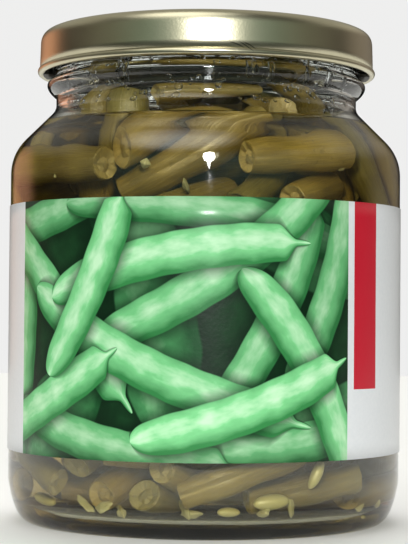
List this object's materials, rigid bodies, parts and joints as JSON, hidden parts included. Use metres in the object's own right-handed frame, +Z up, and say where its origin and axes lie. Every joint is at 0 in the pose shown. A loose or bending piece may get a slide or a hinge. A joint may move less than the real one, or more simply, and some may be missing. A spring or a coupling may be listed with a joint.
{
  "type": "sealed glass jar of cut green beans",
  "caption": "Sealed glass jar of cut green beans in brine, with a gold twist-off metal lid and a wrap-around paper label.",
  "frame": {"origin": "middle of the flat ring that the jar stands on", "axes": "+Z up along the jar's axis, -Y out of the middle of the label's picture"},
  "size_m": [0.0808, 0.0812, 0.0998],
  "materials": {
    "glass": "clear smooth container glass",
    "brine": "clear yellow-green liquid",
    "lid_lacquer": "satin gold lacquer over tinplate",
    "liner": "matt sealing compound",
    "label_paper": "glossy printed paper",
    "bean": "wet cooked bean skin",
    "seed": "wet cooked seed"
  },
  "bodies": {
    "jar": {"glass_jar": "glass", "brine": "brine", "label": "label_paper", "bean_core_1": "bean", "bean_core_2": "bean", "bean_core_3": "bean", "bean_lower_1": "bean", "bean_lower_10": "bean", "bean_lower_11": "bean", "bean_lower_12": "bean", "bean_lower_13": "bean", "bean_lower_14": "bean", "bean_lower_15": "bean", "bean_lower_16": "bean", "bean_lower_17": "bean", "bean_lower_2": "bean", "bean_lower_3": "bean", "bean_lower_4": "bean", "bean_lower_5": "bean", "bean_lower_6": "bean", "bean_lower_7": "bean", "bean_lower_8": "bean", "bean_lower_9": "bean", "bean_middle_1": "bean", "bean_middle_2": "bean", "bean_middle_3": "bean", "bean_middle_4": "bean", "bean_middle_5": "bean", "bean_middle_6": "bean", "bean_middle_7": "bean", "bean_middle_8": "bean", "bean_middle_9": "bean", "bean_upper_1": "bean", "bean_upper_10": "bean", "bean_upper_11": "bean", "bean_upper_12": "bean", "bean_upper_13": "bean", "bean_upper_14": "bean", "bean_upper_15": "bean", "bean_upper_16": "bean", "bean_upper_17": "bean", "bean_upper_18": "bean", "bean_upper_19": "bean", "bean_upper_2": "bean", "bean_upper_20": "bean", "bean_upper_21": "bean", "bean_upper_22": "bean", "bean_upper_3": "bean", "bean_upper_4": "bean", "bean_upper_5": "bean", "bean_upper_6": "bean", "bean_upper_7": "bean", "bean_upper_8": "bean", "bean_upper_9": "bean", "seed_1": "seed", "seed_2": "seed", "seed_3": "seed", "seed_4": "seed"},
    "seal": {"lid_liner": "liner"},
    "lid": {"lid": "lid_lacquer"}
  },
  "joints": [
    {"name": "lid_rise", "type": "slide", "parent": "jar", "child": "seal", "axis": [0, 0, 1], "range_m": [0, 0.00121]},
    {"name": "lid_turn", "type": "hinge", "parent": "seal", "child": "lid", "pos_m": [0, 0, 0.095], "axis": [0, 0, 1], "range_deg": [0, 72]}
  ],
  "couplings": [
    {"joint": "lid_rise", "follows": "lid_turn", "m_per_rad": 0.00095493}
  ]
}
